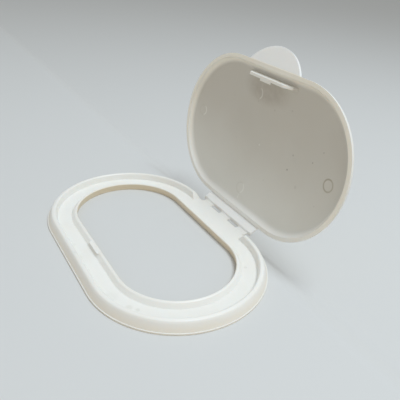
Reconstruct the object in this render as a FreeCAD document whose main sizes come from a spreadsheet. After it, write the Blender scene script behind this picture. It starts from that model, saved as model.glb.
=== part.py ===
import FreeCAD, Part
import math
import os
import re

import Sketcher

# Flip-top lid for a pack of wet wipes: a stadium-shaped frame that is bonded to the pack round
# its opening, and a shallow crowned cap, joined by three thin webs of the same moulding.
# The frame lies on the XY plane with its opening centred on the origin. X runs along the hinge,
# +Y points to the hinge and +Z is up, away from the pack. The cap stands open.

doc = FreeCAD.newDocument("wet_wipe_lid")

# Driving dimensions, in millimetres and degrees
SIZES = {
    # frame
    "base_length": 100.0,
    "base_width": 62.2,
    "flange_thick": 0.6,
    "flange_step": 0.3,
    "floor_thick": 1.3,
    "rim_height": 3.9,
    "wall_lean": 1.1,
    "shoulder_rise": 0.5,
    "shoulder_run": 0.35,
    "crest_rise": 0.3,
    "crest_run": 0.55,
    "rim_top": 0.9,
    "rim_draft": 0.5,
    "rim_bevel": 0.3,
    "end_channel": 5.45,
    "side_channel": 4.85,
    "lip_height": 2.9,
    "lip_top": 0.9,
    "lip_lean": 1.3,
    "lip_bevel": 0.3,
    "opening_draft": 0.5,
    # catch on the frame's lip
    "catch_length": 8.0,
    "catch_reach": 1.0,
    "catch_drop": 0.05,
    "catch_slope": 0.15,
    "catch_thick": 0.3,
    # latch in the cap
    "latch_root": 26.9,
    "latch_tip": 18.5,
    "latch_thick": 1.05,
    "latch_slack": 0.25,
    "hook_length": 6.0,
    "hook_reach": 0.75,
    "hook_lift": 0.75,
    "hook_slack": 0.1,
    # cap
    "cap_end_inset": 2.5,
    "cap_side_inset": 2.55,
    "cap_height": 5.0,
    "cap_wall": 1.0,
    "cap_rim": 1.5,
    "cap_seat": 0.15,
    "end_turn": 180.0,
    "crown_radius": 171.0,
    "shoulder_radius": 3.0,
    "inner_shoulder": 3.0,
    # thumb tab
    "tab_radius": 16.9,
    "tab_reach": 7.3,
    "tab_thick": 1.0,
    "tab_lift": 0.1,
    "tab_tilt": 15.0,
    "tab_root": 0.3,
    # hinge
    "hinge_outset": 1.1,
    "hinge_height": 0.7,
    "open_angle": 100.7,
    "gap_length": 32.6,
    "gap_depth": 6.0,
    "gap_slope": 40.0,
    "bar_length": 32.4,
    "bar_outset": 0.85,
    "bar_foot": 1.2,
    "bar_run": 2.2,
    "bar_lean": 40.8,
    "bar_slack": 0.2,
    "groove_depth": 0.5,
    "film_thick": 0.4,
    "film_height": 0.45,
    "web_span": 29.0,
    "slot_length": 6.3,
    "slot_pitch": 11.9,
}

# The opening and the cap follow the base frame's outline.
SHOULDER_INSET = "(flange_step + wall_lean)"
CREST_INSET = f"({SHOULDER_INSET} + shoulder_run)"
RIM_INSET = f"({CREST_INSET} + crest_run + rim_top)"
LIP_WIDTH = "(lip_lean + lip_top)"
OPENING_LENGTH = f"(base_length - 2 * ({RIM_INSET} + rim_draft + end_channel + {LIP_WIDTH}))"
OPENING_WIDTH = f"(base_width - 2 * ({RIM_INSET} + rim_draft + side_channel + {LIP_WIDTH}))"
CAP_LENGTH = "(base_length - 2 * cap_end_inset)"
CAP_WIDTH = "(base_width - 2 * cap_side_inset)"

# The hinge's axis, and the plane that the cap's rim lies in when it is shut
HINGE_Y = "(base_width / 2 + hinge_outset)"
SEAT = "(rim_height + cap_seat)"

# The cap's curved shoulders are moulded as this many narrow flats.
SHOULDER_FLATS = 7

# Sketches are drawn roughly at these sizes first, and their dimensions then pull them into place.
START_RADIUS = 20.0
START_HALF = 15.0
START_SLOT_PITCH = 20.0
START_SLOT_RADIUS = 1.0
START_SLOT_HALF = 2.0
START_SLOT_Y = 32.0
SAME_PLACE = 1e-4

sheet = doc.addObject("Spreadsheet::Sheet", "sizes")
for row, (alias, value) in enumerate(SIZES.items(), start=1):
    sheet.set(f"A{row}", alias)
    sheet.set(f"B{row}", str(value))
    sheet.setAlias(f"B{row}", alias)
doc.recompute()


def size(alias):
    return float(sheet.get(alias))


def bind(obj, prop, expression):
    """Tie a property to the sheet; names in the expression are the sheet's aliases."""
    obj.setExpression(prop, re.sub(r"[a-z_]+", tie, expression))


def tie(match):
    word = match.group()
    return "sizes." + word if word in SIZES else word


def plane_of(body, role):
    for feature in body.Origin.OriginFeatures:
        if feature.Role == role:
            return feature
    raise ValueError("no plane " + role)


def new_body(name):
    body = doc.addObject("PartDesign::Body", name)
    body.Label = name
    return body


def new_sketch(body, role, name, offset=None):
    """A sketch on one of the body's own planes, moved along its normal by an expression."""
    sketch = body.newObject("Sketcher::SketchObject", name)
    sketch.AttachmentSupport = [(plane_of(body, role), "")]
    sketch.MapMode = "FlatFace"
    if offset:
        bind(sketch, "AttachmentOffset.Base.z", offset)
    return sketch


def drive(sketch, kind, places, value, expression):
    """Add a dimension to a sketch and tie it to the sheet."""
    index = sketch.addConstraint(Sketcher.Constraint(kind, *places, value))
    bind(sketch, f"Constraints[{index}]", expression)


def add_round_ended(sketch, across, along, half, radius):
    """Rough geometry with round ends at right and left; returns the number of its first edge."""
    first = sketch.GeometryCount
    point = FreeCAD.Vector
    up = point(0, 0, 1)
    right_centre = point(across + half, along, 0)
    left_centre = point(across - half, along, 0)
    rise = point(0, radius, 0)
    right = Part.ArcOfCircle(Part.Circle(right_centre, up, radius), -math.pi / 2, math.pi / 2)
    left = Part.ArcOfCircle(Part.Circle(left_centre, up, radius), math.pi / 2, 3 * math.pi / 2)
    top = Part.LineSegment(right_centre + rise, left_centre + rise)
    bottom = Part.LineSegment(left_centre - rise, right_centre - rise)
    sketch.addGeometry([right, top, left, bottom], False)
    for here, following in ((0, 1), (1, 2), (2, 3), (3, 0)):
        sketch.addConstraint(Sketcher.Constraint("Tangent", first + here, 2, first + following, 1))
    return first


def draw_stadium(sketch, length, width):
    """Two half circles joined by straight sides, centred on the sketch's origin."""
    add_round_ended(sketch, 0, 0, START_HALF, START_RADIUS)
    sketch.addConstraint(Sketcher.Constraint("PointOnObject", 0, 3, -1))
    sketch.addConstraint(Sketcher.Constraint("PointOnObject", 2, 3, -1))
    sketch.addConstraint(Sketcher.Constraint("Equal", 0, 2))
    drive(sketch, "Radius", (0,), START_RADIUS, f"( {width} ) / 2")
    drive(sketch, "DistanceX", (-1, 1, 0, 3), START_HALF, f"( {length} - ( {width} ) ) / 2")
    drive(sketch, "DistanceX", (2, 3, -1, 1), START_HALF, f"( {length} - ( {width} ) ) / 2")


def draw_polygon(sketch, corners):
    """Straight edges between corners, each corner placed by two expressions."""
    count = len(corners)
    spread = []
    for i in range(count):
        turn = 2 * math.pi * i / count
        spread.append(FreeCAD.Vector(START_RADIUS * math.cos(turn), START_RADIUS * math.sin(turn), 0))
    edges = [Part.LineSegment(spread[i], spread[(i + 1) % count]) for i in range(count)]
    sketch.addGeometry(edges, False)
    for i in range(count):
        sketch.addConstraint(Sketcher.Constraint("Coincident", i, 2, (i + 1) % count, 1))
    for i, (across, along) in enumerate(corners):
        drive(sketch, "DistanceX", (-1, 1, i, 1), spread[i].x, across)
        drive(sketch, "DistanceY", (-1, 1, i, 1), spread[i].y, along)


def add_pad(body, sketch, name, length, taper=None, midplane=False):
    pad = body.newObject("PartDesign::Pad", name)
    pad.Profile = sketch
    pad.Midplane = midplane
    bind(pad, "Length", length)
    if taper:
        bind(pad, "TaperAngle", taper)
    sketch.Visibility = False
    return pad


def add_pocket(body, sketch, name, length, taper=None):
    pocket = body.newObject("PartDesign::Pocket", name)
    pocket.Profile = sketch
    bind(pocket, "Length", length)
    if taper:
        bind(pocket, "TaperAngle", taper)
    sketch.Visibility = False
    return pocket


def add_bevel(body, base, name, width, height):
    """Bevel the edges of the base feature that lie at one height."""
    doc.recompute()
    names = [f"Edge{i}" for i, edge in enumerate(base.Shape.Edges, start=1) if lies_at(edge, size(height))]
    bevel = body.newObject("PartDesign::Chamfer", name)
    bevel.Base = (base, names)
    bind(bevel, "Size", width)
    return bevel


def add_mirror(body, name, feature, role):
    mirror = body.newObject("PartDesign::Mirrored", name)
    mirror.Originals = [feature]
    mirror.MirrorPlane = (plane_of(body, role), [""])
    body.Tip = mirror
    doc.recompute()
    return mirror


def draw_arc_plate(sketch, radius, apex, chord):
    """One arc, bulging towards -Y, closed by a straight chord; centred on the sketch's Y axis."""
    point = FreeCAD.Vector
    centre = point(0, -START_HALF, 0)
    arc = Part.ArcOfCircle(Part.Circle(centre, point(0, 0, 1), START_RADIUS), 1.2 * math.pi,
                           1.8 * math.pi)
    ends = [arc.StartPoint, arc.EndPoint]
    sketch.addGeometry([arc, Part.LineSegment(ends[1], ends[0])], False)
    sketch.addConstraint(Sketcher.Constraint("Coincident", 0, 2, 1, 1))
    sketch.addConstraint(Sketcher.Constraint("Coincident", 0, 1, 1, 2))
    sketch.addConstraint(Sketcher.Constraint("PointOnObject", 0, 3, -2))
    sketch.addConstraint(Sketcher.Constraint("Horizontal", 1))
    drive(sketch, "Radius", (0,), START_RADIUS, radius)
    drive(sketch, "DistanceY", (-1, 1, 0, 3), -START_HALF, f"{apex} + {radius}")
    drive(sketch, "DistanceY", (-1, 1, 1, 1), ends[0].y, chord)


def draw_slot(sketch, side, pitch, length, near, far):
    """A slot along X with round ends, half the pitch to one side, from near to far in Y."""
    centre = side * START_SLOT_PITCH / 2
    first = add_round_ended(sketch, centre, START_SLOT_Y, START_SLOT_HALF, START_SLOT_RADIUS)
    top, left, bottom = first + 1, first + 2, first + 3
    half = f"({length} - ({far}) + ({near})) / 2"
    middle = f"{side} * {pitch} / 2"
    sketch.addConstraint(Sketcher.Constraint("Horizontal", bottom))
    sketch.addConstraint(Sketcher.Constraint("Horizontal", top))
    drive(sketch, "DistanceY", (-1, 1, bottom, 1), START_SLOT_Y - START_SLOT_RADIUS, near)
    drive(sketch, "DistanceY", (-1, 1, top, 1), START_SLOT_Y + START_SLOT_RADIUS, far)
    drive(sketch, "DistanceX", (-1, 1, first, 3), centre + START_SLOT_HALF, f"{middle} + {half}")
    drive(sketch, "DistanceX", (-1, 1, left, 3), centre - START_SLOT_HALF, f"{middle} - {half}")


def lies_at(edge, height):
    box = edge.BoundBox
    return abs(box.ZMin - height) < SAME_PLACE and abs(box.ZMax - height) < SAME_PLACE


# Base frame: a flat flange with a leaning outer wall, a channel and a low lip round the opening

def build_frame():
    frame = new_body("base_frame")
    outline = new_sketch(frame, "XY_Plane", "flange_outline")
    draw_stadium(outline, "base_length", "base_width")
    add_pad(frame, outline, "flange", "flange_thick")

    # The outer wall leans in, and two bands above it lean further and round it over to the crest.
    crest_foot = "(rim_height - crest_rise)"
    shoulder_foot = f"({crest_foot} - shoulder_rise)"
    bands = (("leaning_wall", "flange_step", "flange_thick", f"{shoulder_foot} - flange_thick", "wall_lean"),
             ("rim_shoulder", SHOULDER_INSET, shoulder_foot, "shoulder_rise", "shoulder_run"),
             ("rim_crest", CREST_INSET, crest_foot, "crest_rise", "crest_run"))
    for name, inset, foot, rise, run in bands:
        outline = new_sketch(frame, "XY_Plane", name + "_outline", foot)
        draw_stadium(outline, f"base_length - 2 * {inset}", f"base_width - 2 * {inset}")
        add_pad(frame, outline, name, rise, f"-atan({run} / ({rise}))")

    outline = new_sketch(frame, "XY_Plane", "channel_outline", "rim_height")
    draw_stadium(outline, f"base_length - 2 * {RIM_INSET}", f"base_width - 2 * {RIM_INSET}")
    add_pocket(frame, outline, "channel", "rim_height - floor_thick",
               "-atan(rim_draft / (rim_height - floor_thick))")

    outline = new_sketch(frame, "XY_Plane", "lip_outline", "floor_thick")
    draw_stadium(outline, f"{OPENING_LENGTH} + 2 * {LIP_WIDTH}", f"{OPENING_WIDTH} + 2 * {LIP_WIDTH}")
    add_pad(frame, outline, "lip", "lip_height - floor_thick",
            "-atan(lip_lean / (lip_height - floor_thick))")

    outline = new_sketch(frame, "XY_Plane", "opening_outline", "lip_height")
    draw_stadium(outline, OPENING_LENGTH, OPENING_WIDTH)
    add_pocket(frame, outline, "opening", "lip_height", "atan(opening_draft / lip_height)")

    # The rim stops short of the hinge, and its two ends slope down to the floor.
    slope_run = "(rim_height - floor_thick) * tan(gap_slope)"
    half_gap = f"(gap_length / 2 + {slope_run})"
    inner_side = f"base_width / 2 - gap_depth - {slope_run}"
    outer_side = f"base_width / 2 + gap_depth + {slope_run}"
    outline = new_sketch(frame, "XY_Plane", "hinge_gap_outline", "rim_height")
    draw_polygon(outline, [(f"-{half_gap}", inner_side), (half_gap, inner_side),
                           (half_gap, outer_side), (f"-{half_gap}", outer_side)])
    add_pocket(frame, outline, "hinge_gap", "rim_height - floor_thick", "-gap_slope")

    outline = new_sketch(frame, "XY_Plane", "hinge_land_outline")
    land_side = "base_width / 2 - gap_depth"
    draw_polygon(outline, [("-web_span / 2", land_side), ("web_span / 2", land_side),
                           ("web_span / 2", "base_width / 2"), ("-web_span / 2", "base_width / 2")])
    land = add_pad(frame, outline, "hinge_land", "floor_thick")

    bevelled = add_bevel(frame, land, "rim_edges", "rim_bevel", "rim_height")
    add_bevel(frame, bevelled, "lip_edges", "lip_bevel", "lip_height")

    # Catch: a thin flake on the lip that the latch's hook snaps under
    lip_edge = f"-({OPENING_WIDTH} / 2 + lip_top)"
    outline = new_sketch(frame, "YZ_Plane", "catch_section")
    draw_polygon(outline, [(f"{lip_edge} + lip_top / 2", "lip_height - catch_drop"),
                           (f"{lip_edge} - catch_reach", "lip_height - catch_slope"),
                           (f"{lip_edge} - catch_reach", "lip_height - catch_thick"),
                           (f"{lip_edge} + lip_top / 2", "lip_height - catch_thick")])
    add_pad(frame, outline, "catch", "catch_length", midplane=True)
    return frame


# Cap: a crowned tray with an even wall, modelled shut and then swung open about the hinge

def add_shoulder(sketch, centre, radius, start, end):
    """Equal flats along a construction arc; returns the numbers of the arc and of the flats."""
    up = FreeCAD.Vector(0, 0, 1)
    arc = Part.ArcOfCircle(Part.Circle(centre, up, radius), start, end)
    turns = [start + (end - start) * i / SHOULDER_FLATS for i in range(SHOULDER_FLATS + 1)]
    corners = [centre + FreeCAD.Vector(radius * math.cos(t), radius * math.sin(t), 0) for t in turns]
    guide = sketch.addGeometry(arc, True)
    flats = [sketch.addGeometry(Part.LineSegment(here, there), False)
             for here, there in zip(corners, corners[1:])]
    sketch.addConstraint(Sketcher.Constraint("Coincident", flats[0], 1, guide, 1))
    sketch.addConstraint(Sketcher.Constraint("Coincident", flats[-1], 2, guide, 2))
    for here, following in zip(flats, flats[1:]):
        sketch.addConstraint(Sketcher.Constraint("Coincident", here, 2, following, 1))
        sketch.addConstraint(Sketcher.Constraint("PointOnObject", here, 2, guide))
        sketch.addConstraint(Sketcher.Constraint("Equal", here, following))
    return guide, flats


def draw_cap_section(sketch):
    """Half of the tray's section, from the crown's middle out to the rim on the latch side."""
    point = FreeCAD.Vector
    up = point(0, 0, 1)
    seat = size("rim_height") + size("cap_seat")
    side = size("base_width") / 2 - size("cap_side_inset")
    rim = size("cap_rim")
    wall = size("cap_wall")
    middle = point(0, seat + size("cap_height") - size("crown_radius"), 0)
    skins = []
    for crown, edge, radius in ((size("crown_radius"), side, size("shoulder_radius")),
                                (size("crown_radius") - wall, side - rim, size("inner_shoulder"))):
        corner = point(-edge, seat, 0)
        away = corner - middle
        cosine = (away.Length ** 2 + radius ** 2 - (crown - radius) ** 2) / (2 * away.Length * radius)
        toward = math.atan2(-away.y, -away.x) + math.acos(cosine)
        centre = corner + point(radius * math.cos(toward), radius * math.sin(toward), 0)
        arm = centre - middle
        turn = math.atan2(arm.y, arm.x)
        low = math.atan2(corner.y - centre.y, corner.x - centre.x) % (2 * math.pi)
        crown_arc = Part.ArcOfCircle(Part.Circle(middle, up, crown), math.pi / 2, turn)
        number = sketch.addGeometry(crown_arc, False)
        guide, flats = add_shoulder(sketch, centre, radius, turn, low)
        sketch.addConstraint(Sketcher.Constraint("Tangent", number, 2, guide, 1))
        sketch.addConstraint(Sketcher.Constraint("PointOnObject", number, 1, -2))
        skins.append((number, guide, flats[-1]))
    (outer, outer_guide, outer_end), (inner, inner_guide, inner_end) = skins
    outer_foot = point(-side, seat, 0)
    inner_foot = point(rim - side, seat, 0)
    top = middle + point(0, size("crown_radius"), 0)
    foot = sketch.addGeometry(Part.LineSegment(outer_foot, inner_foot), False)
    close = sketch.addGeometry(Part.LineSegment(top - point(0, wall, 0), top), False)
    for first, end, second, start in ((outer_end, 2, foot, 1), (inner_end, 2, foot, 2),
                                      (inner, 1, close, 1), (outer, 1, close, 2)):
        sketch.addConstraint(Sketcher.Constraint("Coincident", first, end, second, start))
    sketch.addConstraint(Sketcher.Constraint("Horizontal", foot))
    sketch.addConstraint(Sketcher.Constraint("PointOnObject", outer, 3, -2))
    sketch.addConstraint(Sketcher.Constraint("Coincident", inner, 3, outer, 3))
    drive(sketch, "Radius", (outer,), size("crown_radius"), "crown_radius")
    drive(sketch, "Radius", (inner,), size("crown_radius") - wall, "crown_radius - cap_wall")
    drive(sketch, "Radius", (outer_guide,), size("shoulder_radius"), "shoulder_radius")
    drive(sketch, "Radius", (inner_guide,), size("inner_shoulder"), "inner_shoulder")
    drive(sketch, "DistanceX", (-1, 1, foot, 1), -side, f"-{CAP_WIDTH} / 2")
    drive(sketch, "DistanceX", (foot, 1, foot, 2), rim, "cap_rim")
    drive(sketch, "DistanceY", (-1, 1, foot, 1), seat, SEAT)
    drive(sketch, "DistanceY", (-1, 1, outer, 1), top.y, f"{SEAT} + cap_height")


def build_cap():
    cap = new_body("flip_cap")
    straight = f"({CAP_LENGTH} - {CAP_WIDTH})"

    section = new_sketch(cap, "YZ_Plane", "middle_section")
    draw_cap_section(section)
    middle = add_pad(cap, section, "tray_middle", straight, midplane=True)
    add_mirror(cap, "tray_far_side", middle, "XZ_Plane")

    section = new_sketch(cap, "YZ_Plane", "end_section", f"{straight} / 2")
    draw_cap_section(section)
    end = cap.newObject("PartDesign::Revolution", "tray_end")
    end.Profile = section
    end.ReferenceAxis = (section, ["V_Axis"])
    bind(end, "Angle", "end_turn")
    doc.recompute()
    add_mirror(cap, "tray_other_end", end, "YZ_Plane")

    # Thumb tab: a plate bounded by one arc, rooted in the wall and tilted up towards its tip
    outline = new_sketch(cap, "XY_Plane", "tab_outline", f"{SEAT} + tab_lift")
    tilted = FreeCAD.Rotation(FreeCAD.Vector(-1, 0, 0), size("tab_tilt"))
    outline.AttachmentOffset = FreeCAD.Placement(outline.AttachmentOffset.Base, tilted)
    bind(outline, "AttachmentOffset.Rotation.Angle", "tab_tilt")
    bind(outline, "AttachmentOffset.Base.y", f"-{CAP_WIDTH} / 2")
    draw_arc_plate(outline, "tab_radius", "-tab_reach", "tab_root")
    add_pad(cap, outline, "thumb_tab", "tab_thick")

    # Latch: a blade that hangs from the crown and narrows to its foot, with a short hook there
    hook_tip = f"(-({OPENING_WIDTH} / 2 + lip_top + catch_reach) - latch_slack)"
    blade_in = f"({hook_tip} - hook_reach)"
    blade_out = f"({blade_in} - latch_thick)"
    foot = "(floor_thick + hook_lift)"
    hook_top = "(lip_height - catch_thick - hook_slack)"
    crown_middle = f"({SEAT} + cap_height - crown_radius)"
    blade_top = f"({crown_middle} + sqrt((crown_radius - cap_wall / 2)^2 - {blade_out}^2))"
    outline = new_sketch(cap, "XZ_Plane", "latch_outline", f"-{blade_in}")
    draw_polygon(outline, [("-latch_tip / 2", foot), ("latch_tip / 2", foot),
                           ("latch_root / 2", blade_top), ("-latch_root / 2", blade_top)])
    add_pad(cap, outline, "latch_blade", "latch_thick")
    outline = new_sketch(cap, "YZ_Plane", "hook_section")
    draw_polygon(outline, [(f"{blade_in} - latch_thick / 2", foot), (blade_in, foot),
                           (hook_tip, f"({foot} + {hook_top}) / 2"), (hook_tip, hook_top),
                           (f"{blade_in} - latch_thick / 2", hook_top)])
    add_pad(cap, outline, "latch_hook", "hook_length", midplane=True)

    # Hinge bar: a leaning plate that closes the gap in the frame's rim, with a groove above it
    low = "(floor_thick + bar_slack)"
    foot_out = "(base_width / 2 + bar_outset)"
    foot_in = f"({foot_out} - bar_foot)"
    step_in = f"({foot_in} - bar_run * sin(bar_lean))"
    step_up = f"({low} + bar_run * cos(bar_lean))"
    groove_in = f"({step_in} + groove_depth * cos(bar_lean))"
    groove_up = f"({step_up} + groove_depth * sin(bar_lean))"
    skirt = f"({CAP_WIDTH} / 2)"
    rooted = f"({CAP_WIDTH} / 2 - cap_rim / 2)"
    groove_top = f"({groove_up} + ({groove_in} - {skirt}) / tan(bar_lean))"
    bar_top = f"({low} + ({foot_out} - {rooted}) / tan(bar_lean))"
    outline = new_sketch(cap, "YZ_Plane", "bar_section")
    draw_polygon(outline, [(foot_out, low), (foot_in, low), (step_in, step_up),
                           (groove_in, groove_up), (skirt, groove_top), (rooted, groove_top),
                           (rooted, bar_top)])
    add_pad(cap, outline, "hinge_bar", "bar_length", midplane=True)

    opened = FreeCAD.Rotation(FreeCAD.Vector(-1, 0, 0), size("open_angle"))
    cap.Placement = FreeCAD.Placement(FreeCAD.Vector(0, 0, 0), opened)
    bind(cap, "Placement.Rotation.Angle", "open_angle")
    bind(cap, "Placement.Base.y",
         f"{HINGE_Y} * (1 - cos(open_angle)) - hinge_height * sin(open_angle)")
    bind(cap, "Placement.Base.z",
         f"{HINGE_Y} * sin(open_angle) + hinge_height * (1 - cos(open_angle))")
    return cap


# Living hinge: three thin webs between the frame's edge and the cap's bar, as they lie when open

def build_webs():
    webs = new_body("living_hinge")
    inward = "(bar_outset - hinge_outset)"
    above = "(floor_thick + bar_slack - hinge_height)"

    def swung(across):
        return (f"{HINGE_Y} + {across} * cos(open_angle) + {above} * sin(open_angle)",
                f"hinge_height - {across} * sin(open_angle) + {above} * cos(open_angle)")

    outline = new_sketch(webs, "YZ_Plane", "film_section")
    draw_polygon(outline, [("base_width / 2", "film_height"), swung(inward),
                           swung(f"({inward} - film_thick)"),
                           ("base_width / 2", "film_height + film_thick")])
    add_pad(webs, outline, "film", "web_span", midplane=True)

    # Two slots with round ends part the film into its three webs.
    outline = new_sketch(webs, "XY_Plane", "slot_outlines")
    near = "base_width / 2"
    far = swung(inward)[0] + " + film_thick"
    for side in (-1, 1):
        draw_slot(outline, side, "slot_pitch", "slot_length", near, far)
    slots = add_pocket(webs, outline, "slots", "rim_height")
    slots.Midplane = True
    return webs


frame = build_frame()
cap = build_cap()
webs = build_webs()
doc.recompute()

for item in doc.Objects:
    if "Invalid" in item.State or "Error" in item.State:
        raise RuntimeError(f"{item.Label} did not build")

os.makedirs("parts", exist_ok=True)
for body in (frame, cap, webs):
    shape = body.Shape
    if shape.isNull() or not shape.isValid():
        raise RuntimeError(f"{body.Label} has no valid shape")
    shape.exportStep(f"parts/{body.Label}.step")
    box = shape.BoundBox
    print(f"{body.Label}: {len(shape.Solids)} solids, {shape.Volume:.1f} mm3,",
          f"x {box.XMin:.2f} to {box.XMax:.2f}, y {box.YMin:.2f} to {box.YMax:.2f},",
          f"z {box.ZMin:.2f} to {box.ZMax:.2f}")
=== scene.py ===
import math

import bpy
from mathutils import Matrix, Vector


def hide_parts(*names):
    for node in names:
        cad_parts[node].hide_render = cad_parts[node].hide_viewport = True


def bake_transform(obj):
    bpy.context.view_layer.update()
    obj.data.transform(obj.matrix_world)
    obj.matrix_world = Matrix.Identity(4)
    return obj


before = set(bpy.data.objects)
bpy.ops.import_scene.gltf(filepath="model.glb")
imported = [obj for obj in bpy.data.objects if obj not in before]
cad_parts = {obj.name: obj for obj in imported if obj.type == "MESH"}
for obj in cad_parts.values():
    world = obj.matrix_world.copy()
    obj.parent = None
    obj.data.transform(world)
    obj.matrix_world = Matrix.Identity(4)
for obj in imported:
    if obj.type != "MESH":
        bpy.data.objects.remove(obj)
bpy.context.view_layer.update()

# Base frame: the round-ended ring that is bonded to the pack, with its flange, rim, channel and low lip. It
# is white polypropylene, moulded in one shot with the cap in a polished tool, so it is satin, faintly cloudy
# and wavy, and thin edges glow a little. Its outer wall is painted warmer towards its foot and its opening
# wall beige, both as painted warm shade, and its channel is scuffed.
MM = 0.001


def linear(code):
    """An sRGB hex colour as the linear red, green, blue and alpha that a socket takes."""
    parts = [int(code[i:i + 2], 16) / 255 for i in (0, 2, 4)]
    return [p / 12.92 if p <= 0.04045 else ((p + 0.055) / 1.055) ** 2.4 for p in parts] + [1.0]


CLEAN_WHITE = linear("F4F3EE")
CLOUDY_WHITE = linear("F2F0EA")
PLASTIC_IOR = 1.49
GLOW_SHARE = 0.35
GLOW_DEPTH = 0.6 * MM
GLOW_SPREAD = (1.0, 0.9, 0.8)

# The clouds are as wide as the flow of plastic round the frame, and the waves as its walls' sink marks.
CLOUD_SIZE = 14 * MM
CLOUD_DETAIL = 4.0
CLOUD_ROUGHNESS = 0.55
CLOUD_RANGE = (0.35, 0.7)
NOISE_SPAN = (0.3, 0.7)
SATIN = (0.36, 0.46)
WAVE_SIZE = 6 * MM
WAVE_STRENGTH = 0.25
WAVE_HEIGHT = 0.12 * MM

# The tool's real polish is finer than 0.05 mm. It is drawn coarser here, so that it shows.
GRAIN_SIZE = 0.35 * MM
GRAIN_STRENGTH = 0.2
GRAIN_HEIGHT = 0.012 * MM
RELIEF_DETAIL = 2.0
MARK_STRENGTH = 0.6
MARK_HEIGHT = 0.1 * MM
EDGE_RADIUS = 0.25 * MM
EDGE_SAMPLES = 6
SPOT_FADE = (1.4, 0.5)


def feed(tree, node, inputs):
    """Give a node's inputs their values, or the sockets or nodes that feed them. A node feeds an input from
    its first live output."""
    for name, value in inputs.items():
        if isinstance(value, bpy.types.Node):
            value = next(output for output in value.outputs if output.enabled)
        if isinstance(value, bpy.types.NodeSocket):
            tree.links.new(value, node.inputs[name])
        else:
            node.inputs[name].default_value = value


def add_node(tree, kind, inputs=None, **settings):
    """Add a node with its settings, and feed its inputs."""
    node = tree.nodes.new(kind)
    for name, value in settings.items():
        setattr(node, name, value)
    feed(tree, node, inputs or {})
    return node


def within(tree, *limits):
    """A mask from limits of (value, none, full): 0 where a value is at none, and 1 where all are at full."""
    mask = 1.0
    for value, none, full in limits:
        share = add_node(tree, "ShaderNodeMapRange", {"Value": value, "From Min": none, "From Max": full},
                         interpolation_type="SMOOTHSTEP")
        mask = add_node(tree, "ShaderNodeMath", {0: mask, 1: share}, operation="MULTIPLY")
    return mask


def from_spine(tree, place, half_spine):
    """How far a point lies from the straight line between the centres of two round ends."""
    axes = add_node(tree, "ShaderNodeSeparateXYZ", {"Vector": place})
    sideways = add_node(tree, "ShaderNodeMath", {0: axes.outputs["X"]}, operation="ABSOLUTE")
    beyond = add_node(tree, "ShaderNodeMath", {0: sideways, 1: half_spine}, operation="SUBTRACT")
    past_end = add_node(tree, "ShaderNodeMath", {0: beyond, 1: 0.0}, operation="MAXIMUM")
    level = add_node(tree, "ShaderNodeCombineXYZ", {"X": past_end, "Y": axes.outputs["Y"]})
    return add_node(tree, "ShaderNodeVectorMath", {0: level}, operation="LENGTH")


def spots(tree, plan, places):
    """A mask with a soft round spot at each (x, y, radius, strength), in millimetres. A spot fades out
    between two shares of its radius."""
    mask = 0.0
    for x, y, radius, strength in places:
        away = add_node(tree, "ShaderNodeVectorMath", {0: plan, 1: (x * MM, y * MM, 0)}, operation="DISTANCE")
        spot = add_node(tree, "ShaderNodeMapRange", {"Value": away, "From Min": SPOT_FADE[0] * radius * MM,
                                                     "From Max": SPOT_FADE[1] * radius * MM,
                                                     "To Max": strength},
                        interpolation_type="SMOOTHSTEP")
        mask = add_node(tree, "ShaderNodeMath", {0: mask, 1: spot}, operation="MAXIMUM")
    return mask


def coat(tree, colour, coats):
    """A colour with (mask, colour) coats laid over it in turn."""
    for mask, over in coats:
        colour = add_node(tree, "ShaderNodeMix", {"Factor": mask, 6: colour, 7: over}, data_type="RGBA")
    return colour


def polypropylene(name):
    """White moulded polypropylene: its material, tree, coordinates and shader, and the colour that a section
    lays its own coats over before finish_surface joins it."""
    material = bpy.data.materials.new(name)
    material.use_nodes = True
    tree = material.node_tree
    shader = tree.nodes["Principled BSDF"]
    place = add_node(tree, "ShaderNodeTexCoord")
    clouds = add_node(tree, "ShaderNodeTexNoise", {"Vector": place.outputs["Object"], "Scale": 1 / CLOUD_SIZE,
                                                   "Detail": CLOUD_DETAIL, "Roughness": CLOUD_ROUGHNESS})
    colour = coat(tree, CLEAN_WHITE, [(within(tree, (clouds, *CLOUD_RANGE)), CLOUDY_WHITE)])
    satin = add_node(tree, "ShaderNodeMapRange", {"Value": clouds, "From Min": NOISE_SPAN[0],
                                                  "From Max": NOISE_SPAN[1], "To Min": SATIN[0],
                                                  "To Max": SATIN[1]}, interpolation_type="SMOOTHSTEP")
    feed(tree, shader, {"Roughness": satin, "IOR": PLASTIC_IOR, "Subsurface Weight": GLOW_SHARE,
                        "Subsurface Radius": GLOW_SPREAD, "Subsurface Scale": GLOW_DEPTH})
    return material, tree, place, colour, shader


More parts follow.
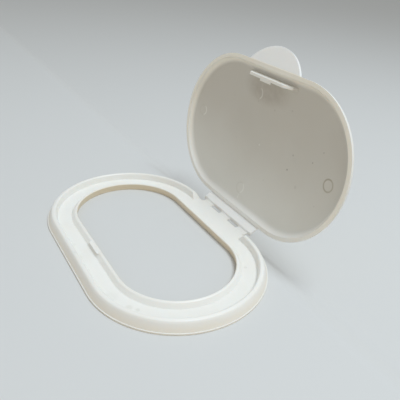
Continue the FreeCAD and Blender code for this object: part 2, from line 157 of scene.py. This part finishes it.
def finish_surface(tree, place, colour, shader, edge=EDGE_RADIUS, marks=None, flat=None):
    """Join the colour and the relief: soft edges, moulding waves, fine grain and a section's own marks.
    Where flat is 1, the faces' own normals are used and not the mesh's."""
    where = place.outputs["Object"]
    surface = add_node(tree, "ShaderNodeBevel", {"Radius": edge}, samples=EDGE_SAMPLES)
    if flat is not None:
        plain = add_node(tree, "ShaderNodeNewGeometry").outputs["True Normal"]
        surface = add_node(tree, "ShaderNodeMix", {"Factor": flat, 4: surface, 5: plain}, data_type="VECTOR")
    waves = add_node(tree, "ShaderNodeTexNoise", {"Vector": where, "Scale": 1 / WAVE_SIZE,
                                                  "Detail": RELIEF_DETAIL})
    grain = add_node(tree, "ShaderNodeTexNoise", {"Vector": where, "Scale": 1 / GRAIN_SIZE,
                                                  "Detail": RELIEF_DETAIL})
    reliefs = [(waves, WAVE_STRENGTH, WAVE_HEIGHT), (grain, GRAIN_STRENGTH, GRAIN_HEIGHT)]
    if marks is not None:
        reliefs.append((marks, MARK_STRENGTH, MARK_HEIGHT))
    for pattern, strength, height in reliefs:
        surface = add_node(tree, "ShaderNodeBump", {"Height": pattern, "Strength": strength,
                                                    "Distance": height, "Normal": surface})
    feed(tree, shader, {"Base Color": colour, "Normal": surface})


def dress(node, material):
    """Give a CAD node's faces their material."""
    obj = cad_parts[node]
    obj.data.materials.clear()
    obj.data.materials.append(material)


# Each pair is where a mask is 0 and where it is 1: a distance from the frame's spine, a height or a slope.
# Painted warm shade: the steep outer wall is painted warmer towards its foot, and the opening wall beige.
WALL_WARM_SHADE = linear("F0EBE0")
OPENING_WALL_SHADE = linear("E3D9C4")
SCUFF_GREY = linear("D9D8D0")
FRAME_SPINE = 18.9 * MM
STEEP_FACES = (0.8, 0.4)
OUTER_WALL = (28.2 * MM, 30.4 * MM)
OUTER_WALL_HEIGHT = (3.4 * MM, 0.8 * MM)
OPENING_WALL = (21.05 * MM, 20.65 * MM)
SCUFF_RELIEF = -0.6
CHANNEL_SCUFFS = [(30.9, -22.6, 1.1, 0.35), (33.0, -20.7, 0.7, 0.4), (9.1, -27.4, 0.8, 0.3),
                  (1.4, -27.8, 1.4, 0.22), (31.5, 19.7, 0.6, 0.4), (-6.5, -26.9, 0.9, 0.18),
                  (24.0, -25.6, 2.2, 0.15)]

frame_plastic, tree, place, colour, shader = polypropylene("white_polypropylene_frame")
where = place.outputs["Object"]
plan = add_node(tree, "ShaderNodeMapping", {"Vector": where, "Scale": (1, 1, 0)})
height = add_node(tree, "ShaderNodeSeparateXYZ", {"Vector": where}).outputs["Z"]
upward = add_node(tree, "ShaderNodeSeparateXYZ", {"Vector": place.outputs["Normal"]}).outputs["Z"]
across = from_spine(tree, where, FRAME_SPINE)
scuffs = spots(tree, plan, CHANNEL_SCUFFS)
# Painted warm shade on the outer and opening walls' steep faces, then the channel's real scuffs.
colour = coat(tree, colour, [
    (within(tree, (upward, *STEEP_FACES), (across, *OUTER_WALL), (height, *OUTER_WALL_HEIGHT)), WALL_WARM_SHADE),
    (within(tree, (upward, *STEEP_FACES), (across, *OPENING_WALL)), OPENING_WALL_SHADE),
    (scuffs, SCUFF_GREY),
])
dents = add_node(tree, "ShaderNodeMath", {0: scuffs, 1: SCUFF_RELIEF}, operation="MULTIPLY")
finish_surface(tree, place, colour, shader, marks=dents)
dress("base_frame", frame_plastic)

# Flip cap: the shallow crowned tray with its thumb tab, latch and hinge bar, of the same shot of
# polypropylene. Its inner crown has four ejector pins and a gate, and holds a film of dust. It is painted
# greyer than the rounded rim, as that dust and as painted shade, and the rim is painted cream as a painted
# warm glow.
# The crown's grey is dust and painted shade; its paler colour near the hinge is painted bounce light.
CROWN_DUST_AND_SHADE = linear("D2CEC5")
CROWN_BOUNCE_LIT = linear("E2E1DA")
# Painted shadow of the latch, together with a smudge.
LATCH_SHADOW_AND_SMUDGE = linear("B5ADA2")
SPECK = linear("7E766C")
PIN_DIRT = linear("A3987F")
# Painted highlight on one side of each pin's ring.
PIN_HIGHLIGHT = linear("EFEEE8")
# Painted warm glow on the rim.
RIM_GLOW_PAINT = linear("FDF7EB")
# Painted light: the latch and the parts outside the rim are painted whiter.
PAINTED_LIGHT_WHITE = linear("FBFBF8")

# The marks are placed on the cap as it lies shut on the frame, so its turn about the hinge is undone first.
HINGE_Y = 32.2 * MM
HINGE_Z = 0.7 * MM
OPEN_TURN = math.radians(100.7)
CAP_SPINE = 18.95 * MM
INNER_FACES = (-0.1, -0.8)
CROWN_DEPTH = (4.6 * MM, 5.2 * MM)
CROWN_ACROSS = (26.7 * MM, 25.0 * MM)
RIM_START = (25.0 * MM, 26.7 * MM)
RIM_END = (28.85 * MM, 28.55 * MM)
RIM_OFF_HINGE = (24 * MM, 8 * MM)
LUGS_ACROSS = (28.55 * MM, 29.05 * MM)
LATCH_DEPTH = (6.65 * MM, 6.45 * MM)
LATCH_ACROSS = (22.0 * MM, 21.5 * MM)
LATCH_ALONG = (-17.0 * MM, -17.6 * MM)
CAP_EDGE_RADIUS = 0.3 * MM

# The crown is painted lighter towards the hinge as painted bounce light, with the dust in drifts, and an oval
# beside the latch is painted darker, as the latch's painted shadow and a smudge.
BOUNCE_LIGHT_ALONG = (-14 * MM, 30 * MM)
DRIFT_SIZE = 22 * MM
DRIFT_DETAIL = 3.0
DRIFT_SHARE = 0.08
SHADOW_SMUDGE_SPOT = [(-3.0, 0.0, 11.0, 0.6)]
SHADOW_SMUDGE_SHIFT = (0.0, 45 * MM, 0.0)
SHADOW_SMUDGE_SQUASH = (1, 2.3, 0)
GRIME_SIZE = 2.5 * MM
GRIME_DETAIL = 4.0
GRIME_ROUGHNESS = 0.65
GRIME_RANGE = (0.3, 0.62)
GRIME_LEAST = 0.65

# Each ejector pin leaves a ring, which holds some dirt, and on its +x side a painted highlight where its edge
# catches the light.
PIN_RADIUS = 2.1 * MM
PIN_FACE = (PIN_RADIUS + 0.25 * MM, PIN_RADIUS - 0.3 * MM)
RING_WIDTH = (0.42 * MM, 0.1 * MM)
HIGHLIGHT_START = 0.3 * MM
HIGHLIGHT_FULL = 1.5 * MM
PIN_MARKS = [(38.0 * MM, 0.5 * MM, 0.6, 0.1), (-39.6 * MM, -0.3 * MM, 0.1, 0.75),
             (-2.4 * MM, 20.3 * MM, 0.1, 0.9), (-7.0 * MM, -17.3 * MM, 0.1, 0.55)]
SPECKS = [(18.5, -2.2, 0.35, 0.3), (17.9, 3.6, 0.35, 0.5), (28.2, -3.4, 0.3, 0.4), (31.6, -8.4, 0.3, 0.3),
          (24.4, 7.6, 0.6, 0.12), (-21.5, -12.4, 0.3, 0.1), (8.3, 12.2, 0.3, 0.1), (35.5, 9.4, 0.3, 0.12),
          (-14.2, 3.1, 0.3, 0.1), (3.6, -13.8, 0.4, 0.15), (12.5, -16.4, 0.4, 0.15), (-6.3, -14.3, 0.4, 0.15)]
# Painted highlights: small glints, one of them on the gate's vestige.
GLINTS = [(0.2, 0.9, 0.4, 0.6), (-1.6, 24.3, 0.5, 0.6), (-1.6, 23.4, 0.4, 0.4)]

# Where the crown's slices meet, at the centres of the round ends, the mesh's own normals are wrong.
CROWN_POLES = [(-18.95, 0, 3.4, 1.0), (18.95, 0, 3.4, 1.0)]

cap_plastic, tree, place, colour, shader = polypropylene("white_polypropylene_cap")
pivot = Vector((0, HINGE_Y, HINGE_Z))
shift = pivot - Matrix.Rotation(OPEN_TURN, 3, "X") @ pivot
shut = add_node(tree, "ShaderNodeMapping", {"Vector": place.outputs["Object"], "Location": shift,
                                            "Rotation": (OPEN_TURN, 0, 0)})
axes = add_node(tree, "ShaderNodeSeparateXYZ", {"Vector": shut})
sideways, along, depth = (axes.outputs[name] for name in "XYZ")
plan = add_node(tree, "ShaderNodeMapping", {"Vector": shut, "Scale": (1, 1, 0)})
across = from_spine(tree, shut, CAP_SPINE)
out_of_crown = (0, math.sin(OPEN_TURN), math.cos(OPEN_TURN))
facing = add_node(tree, "ShaderNodeVectorMath", {0: place.outputs["Normal"], 1: out_of_crown},
                  operation="DOT_PRODUCT")
latch = within(tree, (depth, *LATCH_DEPTH), (across, *LATCH_ACROSS), (along, *LATCH_ALONG))
not_latch = add_node(tree, "ShaderNodeMath", {0: 1.0, 1: latch}, operation="SUBTRACT")
lugs = within(tree, (across, *LUGS_ACROSS))
# Painted warm glow on the rim's inner faces, away from the hinge.
rim_glow = within(tree, (facing, *INNER_FACES), (along, *RIM_OFF_HINGE), (across, *RIM_START), (across, *RIM_END))
crown = within(tree, (facing, *INNER_FACES), (depth, *CROWN_DEPTH), (across, *CROWN_ACROSS))

drift = add_node(tree, "ShaderNodeTexNoise", {"Vector": plan, "Scale": 1 / DRIFT_SIZE,
                                              "Detail": DRIFT_DETAIL})
uneven = add_node(tree, "ShaderNodeMapRange", {"Value": drift, "From Min": NOISE_SPAN[0],
                                               "From Max": NOISE_SPAN[1], "To Min": -DRIFT_SHARE,
                                               "To Max": DRIFT_SHARE}, interpolation_type="SMOOTHSTEP")
# Painted bounce light near the hinge, varied by drifts of dust.
near_hinge = within(tree, (along, *BOUNCE_LIGHT_ALONG))
bounce_light_and_drift = add_node(tree, "ShaderNodeMath", {0: near_hinge, 1: uneven}, operation="ADD")
# Painted shadow of the latch and a smudge: an oval, broken into blotches.
oval = add_node(tree, "ShaderNodeMapping", {"Vector": plan, "Location": SHADOW_SMUDGE_SHIFT, "Scale": SHADOW_SMUDGE_SQUASH})
grime = add_node(tree, "ShaderNodeTexNoise", {"Vector": plan, "Scale": 1 / GRIME_SIZE, "Detail": GRIME_DETAIL,
                                              "Roughness": GRIME_ROUGHNESS})
blotches = add_node(tree, "ShaderNodeMapRange", {"Value": grime, "From Min": GRIME_RANGE[0],
                                                 "From Max": GRIME_RANGE[1], "To Min": GRIME_LEAST},
                    interpolation_type="SMOOTHSTEP")
shadow_and_smear = add_node(tree, "ShaderNodeMath", {0: spots(tree, oval, SHADOW_SMUDGE_SPOT), 1: blotches},
                 operation="MULTIPLY")
dirty_rings = 0.0
pin_highlights = spots(tree, plan, GLINTS)
pin_faces = 0.0
# Each ring's dirt, and its painted highlight on the +x side.
for x, y, dirt, highlight in PIN_MARKS:
    away = add_node(tree, "ShaderNodeVectorMath", {0: plan, 1: (x, y, 0)}, operation="DISTANCE")
    from_ring = add_node(tree, "ShaderNodeMath", {0: away, 1: PIN_RADIUS}, operation="SUBTRACT")
    off_ring = add_node(tree, "ShaderNodeMath", {0: from_ring}, operation="ABSOLUTE")
    ring = within(tree, (off_ring, *RING_WIDTH))
    lit_side = within(tree, (off_ring, *RING_WIDTH), (sideways, x + HIGHLIGHT_START, x + HIGHLIGHT_FULL))
    dirty = add_node(tree, "ShaderNodeMath", {0: ring, 1: dirt}, operation="MULTIPLY")
    lit_arc = add_node(tree, "ShaderNodeMath", {0: lit_side, 1: highlight}, operation="MULTIPLY")
    dirty_rings = add_node(tree, "ShaderNodeMath", {0: dirty_rings, 1: dirty}, operation="MAXIMUM")
    pin_highlights = add_node(tree, "ShaderNodeMath", {0: pin_highlights, 1: lit_arc}, operation="MAXIMUM")
    pin_faces = add_node(tree, "ShaderNodeMath", {0: pin_faces, 1: within(tree, (away, *PIN_FACE))},
                         operation="MAXIMUM")
crown_colour = coat(tree, CROWN_DUST_AND_SHADE, [
    (bounce_light_and_drift, CROWN_BOUNCE_LIT),
    (shadow_and_smear, LATCH_SHADOW_AND_SMUDGE),
    (dirty_rings, PIN_DIRT),
    (spots(tree, plan, SPECKS), SPECK),
    (pin_highlights, PIN_HIGHLIGHT),
])
# Painted light on the latch and outside the rim, painted glow on the rim, then dust and painted shade on the
# crown.
painted_lit = add_node(tree, "ShaderNodeMath", {0: lugs, 1: latch}, operation="MAXIMUM")
dust_and_shade_area = add_node(tree, "ShaderNodeMath", {0: crown, 1: not_latch}, operation="MULTIPLY")
colour = coat(tree, colour, [(painted_lit, PAINTED_LIGHT_WHITE), (rim_glow, RIM_GLOW_PAINT), (dust_and_shade_area, crown_colour)])
pins = add_node(tree, "ShaderNodeMath", {0: crown, 1: pin_faces}, operation="MULTIPLY")
finish_surface(tree, place, colour, shader, CAP_EDGE_RADIUS, pins, spots(tree, plan, CROWN_POLES))
dress("flip_cap", cap_plastic)

# Living hinge: three thin webs of the same shot of polypropylene, between the frame's edge and the cap's bar,
# parted by two slots. They stand for the stiff node of the part, which can't fold.
WEB_NEAR = 31.1 * MM
WEB_FAR = 33.03 * MM
WEB_SPAN = 29 * MM
WEB_THICK = 0.4 * MM
WEB_LOW = 0.45 * MM
WEB_RISE = 0.347 * MM
WEB_EDGE_RADIUS = 0.1 * MM
WEB_ROWS = 14
FAR_TOP_SHIFT = (0, 0.077 * MM, -0.007 * MM)
SLOT_RADIUS = 1.167 * MM
SLOT_Y = WEB_NEAR + SLOT_RADIUS
SLOT_STRETCH = 1.983 * MM
SLOT_CENTRES = (-5.95 * MM, 5.95 * MM)
SLOT_SIDES = 48
SLOT_TOOL_HEIGHT = 4 * MM
OFF_CENTRE = 0.001 * MM


def pick(obj, test):
    """Select in edit mode the vertices whose place passes a test."""
    bpy.ops.mesh.select_mode(type="VERT")
    bpy.ops.mesh.select_all(action="DESELECT")
    bpy.ops.object.mode_set(mode="OBJECT")
    for vertex in obj.data.vertices:
        vertex.select = test(vertex.co)
    bpy.ops.object.mode_set(mode="EDIT")


bpy.ops.object.select_all(action="DESELECT")
bpy.ops.mesh.primitive_cube_add(size=1, location=(0, (WEB_NEAR + WEB_FAR) / 2, WEB_LOW + WEB_THICK / 2))
webs = bpy.context.object
webs.name = "hinge_webs"
webs.scale = (WEB_SPAN, WEB_FAR - WEB_NEAR, WEB_THICK)
bpy.ops.object.transform_apply(location=True, rotation=False, scale=True)
bpy.ops.object.mode_set(mode="EDIT")
pick(webs, lambda place: place.y > SLOT_Y)
bpy.ops.transform.translate(value=(0, 0, WEB_RISE))
pick(webs, lambda place: place.y > SLOT_Y and place.z > WEB_LOW + WEB_RISE + WEB_THICK / 2)
bpy.ops.transform.translate(value=FAR_TOP_SHIFT)
for row in range(1, WEB_ROWS):
    bpy.ops.mesh.select_all(action="SELECT")
    cut = WEB_NEAR + (WEB_FAR - WEB_NEAR) * row / WEB_ROWS
    bpy.ops.mesh.bisect(plane_co=(0, cut, 0), plane_no=(0, 1, 0))
bpy.ops.object.mode_set(mode="OBJECT")
for centre in SLOT_CENTRES:
    bpy.ops.object.select_all(action="DESELECT")
    bpy.ops.mesh.primitive_cylinder_add(vertices=SLOT_SIDES, radius=SLOT_RADIUS, depth=SLOT_TOOL_HEIGHT,
                                        location=(centre, SLOT_Y, WEB_LOW))
    slot_tool = bpy.context.object
    bpy.ops.object.transform_apply(location=True, rotation=False, scale=False)
    bpy.ops.object.mode_set(mode="EDIT")
    for side in (-1, 1):
        pick(slot_tool, lambda place: (place.x - centre) * side > OFF_CENTRE)
        bpy.ops.transform.translate(value=(side * SLOT_STRETCH, 0, 0))
    bpy.ops.object.mode_set(mode="OBJECT")
    bpy.ops.object.select_all(action="DESELECT")
    webs.select_set(True)
    bpy.context.view_layer.objects.active = webs
    slot = webs.modifiers.new("slot", "BOOLEAN")
    slot.operation = "DIFFERENCE"
    slot.object = slot_tool
    bpy.ops.object.modifier_apply(modifier=slot.name)
    bpy.data.objects.remove(slot_tool)
web_plastic, tree, place, colour, shader = polypropylene("white_polypropylene_webs")
finish_surface(tree, place, colour, shader, WEB_EDGE_RADIUS)
webs.data.materials.clear()
webs.data.materials.append(web_plastic)
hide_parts("living_hinge")
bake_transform(webs)

# Floor: plain pale backdrop paper, not part of the object. It falls away softly behind the hinge, because at
# the end of its swing the cap lies flat with its crown below the frame's own underside. The slope is a shade
# paler to the eye, which makes up for the light that it loses.
PAPER_BOUNCE = linear("DDD5C8")
PAPER_SEEN = linear("D7D8D7")
PAPER_SLOPE = linear("DCDDDC")
PAPER_ROUGHNESS = 0.9
PAPER_WIDTH = 6000 * MM
PAPER_TOP = -0.02 * MM
FALL_START = 24 * MM
FALL_END = 44 * MM
FALL_MIDDLE = (FALL_START + FALL_END) / 2
FALL_DROP = 9.5 * MM
FALL_ROWS = 16
ROW_WIDTH = (FALL_END - FALL_START) / FALL_ROWS


def fallen(row):
    """How far the paper has dropped at a row, with the slope eased at its start and its end."""
    share = row / FALL_ROWS
    return FALL_DROP * share * share * (3 - 2 * share)


def seen_by_eye(tree):
    """1 for the rays that show a backdrop, straight, in gloss or through the object, and 0 for its light."""
    rays = add_node(tree, "ShaderNodeLightPath").outputs
    direct = add_node(tree, "ShaderNodeMath", {0: rays["Is Camera Ray"], 1: rays["Is Glossy Ray"]},
                      operation="MAXIMUM")
    return add_node(tree, "ShaderNodeMath", {0: direct, 1: rays["Is Transmission Ray"]}, operation="MAXIMUM")


bpy.ops.object.select_all(action="DESELECT")
bpy.ops.mesh.primitive_plane_add(size=PAPER_WIDTH, location=(0, 0, PAPER_TOP))
floor = bpy.context.object
floor.name = "studio_floor"
bpy.ops.object.transform_apply(location=True, rotation=False, scale=False)
bpy.ops.object.mode_set(mode="EDIT")
for row in range(FALL_ROWS + 1):
    bpy.ops.mesh.select_all(action="SELECT")
    bpy.ops.mesh.bisect(plane_co=(0, FALL_START + ROW_WIDTH * row, 0), plane_no=(0, 1, 0))
for row in range(1, FALL_ROWS + 1):
    pick(floor, lambda place: place.y > FALL_START + ROW_WIDTH * (row - 0.5))
    bpy.ops.transform.translate(value=(0, 0, fallen(row - 1) - fallen(row)))
bpy.ops.object.mode_set(mode="OBJECT")
bpy.ops.object.shade_smooth()
paper = bpy.data.materials.new("matt_backdrop_paper")
paper.use_nodes = True
tree = paper.node_tree
where = add_node(tree, "ShaderNodeTexCoord").outputs["Object"]
along = add_node(tree, "ShaderNodeSeparateXYZ", {"Vector": where}).outputs["Y"]
slope = within(tree, (along, FALL_START, FALL_MIDDLE), (along, FALL_END, FALL_MIDDLE))
seen_paper = coat(tree, PAPER_SEEN, [(slope, PAPER_SLOPE)])
paper_colour = coat(tree, PAPER_BOUNCE, [(seen_by_eye(tree), seen_paper)])
feed(tree, tree.nodes["Principled BSDF"], {"Base Color": paper_colour, "Roughness": PAPER_ROUGHNESS})
floor.data.materials.append(paper)

# Light: a soft key high above and a little behind, a faint warm fill low at the front, and a pale room all
# round. To the eye the room is as dark as the far end of the paper, so that no horizon shows.
AIM = Vector((0, 0.02, 0.02))
ROOM_LIGHT = linear("FBFCFA")
ROOM_STRENGTH = 0.48
ROOM_SEEN = linear("9FA19F")


def soft_lamp(name, azimuth, elevation, distance, width, power, colour):
    """A square lamp that looks at the object from a bearing about it."""
    turn, rise = math.radians(azimuth), math.radians(elevation)
    away = Vector((math.sin(turn) * math.cos(rise), -math.cos(turn) * math.cos(rise), math.sin(rise)))
    data = bpy.data.lights.new(name, "AREA")
    data.size = width
    data.energy = power
    data.color = linear(colour)[:3]
    lamp = bpy.data.objects.new(name, data)
    lamp.location = AIM + away * distance
    lamp.rotation_mode = "QUATERNION"
    lamp.rotation_quaternion = away.to_track_quat("Z", "Y")
    bpy.context.collection.objects.link(lamp)


soft_lamp("key_lamp", azimuth=125, elevation=72, distance=0.7, width=0.3, power=3.0, colour="EBF6FF")
soft_lamp("fill_lamp", azimuth=53, elevation=20, distance=0.7, width=0.5, power=0.2, colour="FFDCC0")
room = bpy.data.worlds.new("pale_room")
room.use_nodes = True
tree = room.node_tree
seen = seen_by_eye(tree)
strength = add_node(tree, "ShaderNodeMapRange", {"Value": seen, "To Min": ROOM_STRENGTH},
                    interpolation_type="SMOOTHSTEP")
room_colour = coat(tree, ROOM_LIGHT, [(seen, ROOM_SEEN)])
feed(tree, tree.nodes["Background"], {"Color": room_colour, "Strength": strength})
bpy.context.scene.world = room

# Camera: at the photograph's angle. Its place, lens and shift were fitted to the outlines of the frame, of
# the opening and of the cap's rim, and the shift is only what the photograph's framing needs.
PHOTO_SIZE = 400
CAMERA_AZIMUTH = 53.427
CAMERA_RISE = 30.179
CAMERA_ROLL = 5.912
CAMERA_DISTANCE = 163.544 * MM
FOCAL_PIXELS = 442.942
ORIGIN_PIXEL = (151.984, 237.927)
CENTRE_PIXEL = (220.608, 206.791)
SENSOR_WIDTH = 36.0
CLIP_START = 5 * MM

turn, rise, roll = (math.radians(angle) for angle in (CAMERA_AZIMUTH, CAMERA_RISE, CAMERA_ROLL))
back = Vector((math.sin(turn) * math.cos(rise), -math.cos(turn) * math.cos(rise), math.sin(rise)))
level = Vector((0, 0, 1)).cross(back).normalized()
upright = back.cross(level)
right = level * math.cos(roll) + upright * math.sin(roll)
top = upright * math.cos(roll) - level * math.sin(roll)
pan = (ORIGIN_PIXEL[0] - CENTRE_PIXEL[0]) / FOCAL_PIXELS * CAMERA_DISTANCE
lift = (CENTRE_PIXEL[1] - ORIGIN_PIXEL[1]) / FOCAL_PIXELS * CAMERA_DISTANCE
lens = bpy.data.cameras.new("photo_camera")
lens.sensor_width = SENSOR_WIDTH
lens.lens = FOCAL_PIXELS / PHOTO_SIZE * SENSOR_WIDTH
lens.shift_x = (PHOTO_SIZE / 2 - CENTRE_PIXEL[0]) / PHOTO_SIZE
lens.shift_y = (CENTRE_PIXEL[1] - PHOTO_SIZE / 2) / PHOTO_SIZE
lens.clip_start = CLIP_START
camera = bpy.data.objects.new("photo_camera", lens)
turned = Matrix((right, top, back)).transposed().to_4x4()
camera.matrix_world = Matrix.Translation(back * CAMERA_DISTANCE - right * pan - top * lift) @ turned
bpy.context.collection.objects.link(camera)
bpy.context.scene.camera = camera
bpy.context.scene.view_settings.view_transform = "Standard"
